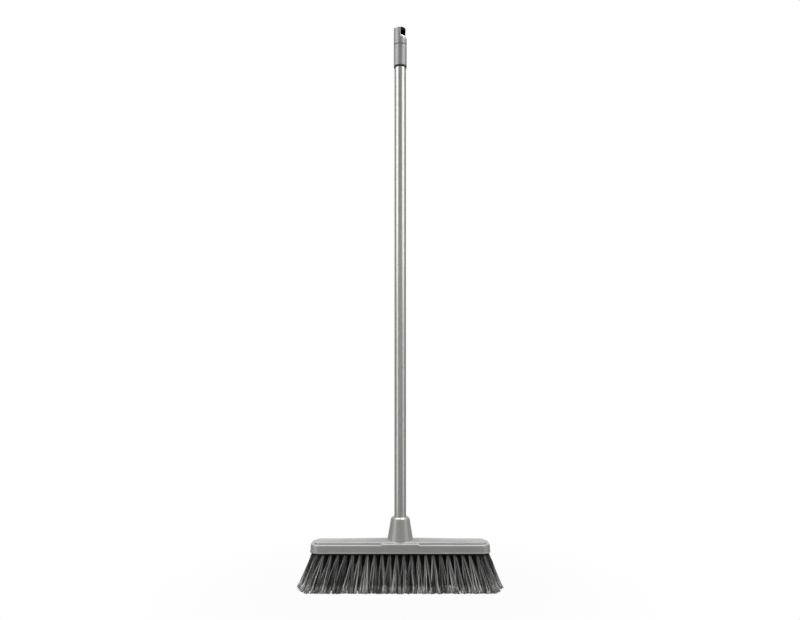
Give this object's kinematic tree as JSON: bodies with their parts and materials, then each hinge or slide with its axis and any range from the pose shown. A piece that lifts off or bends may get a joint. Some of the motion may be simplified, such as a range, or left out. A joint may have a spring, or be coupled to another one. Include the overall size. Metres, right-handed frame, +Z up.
{
  "type": "soft bristle broom",
  "caption": "Upright broom with a long tube handle that screws into a rounded head, soft bristles fanned out at both ends, and a turning end cap with an eye for hanging.",
  "frame": {"origin": "on the floor under the handle's axis, in the middle of the bristle tips", "axes": "+Z up along the handle, +X along the head's length, -Y towards the picture's camera"},
  "size_m": [0.4156, 0.0828, 1.151],
  "materials": {
    "silver_plastic": "satin silver-grey, moulded in colour",
    "silver_paint": "satin silver paint over steel",
    "black_plastic": "matt black",
    "black_ring": "matt black",
    "bristle": "grey and black mixed, with pale split tips"
  },
  "bodies": {
    "head": {"head_cover": "silver_plastic", "bristle_block": "black_plastic", "bristle_row_1": "bristle", "bristle_row_2": "bristle", "bristle_row_3": "bristle", "bristle_row_4": "bristle", "bristle_row_5": "bristle"},
    "grip_ring": {"grip_ring": "black_ring"},
    "handle": {"handle_tube": "silver_paint", "threaded_tip": "black_plastic", "grip_sleeve": "silver_plastic", "tube_plug": "black_plastic"},
    "hanger": {"hanger_cap": "silver_plastic", "hanger_core": "black_plastic"}
  },
  "joints": [
    {"name": "handle_rise", "type": "slide", "parent": "head", "child": "grip_ring", "axis": [0, 0, 1], "range_m": [0, 0.03]},
    {"name": "handle_turn", "type": "hinge", "parent": "grip_ring", "child": "handle", "pos_m": [0, 0, 0.1363], "axis": [0, 0, 1], "range_deg": [0, 2160]},
    {"name": "hanger_swivel", "type": "hinge", "parent": "handle", "child": "hanger", "pos_m": [0, 0, 1.1143], "axis": [0, 0, 1], "continuous": true}
  ],
  "couplings": [
    {"joint": "handle_turn", "follows": "handle_rise", "rad_per_m": 1256.6}
  ]
}
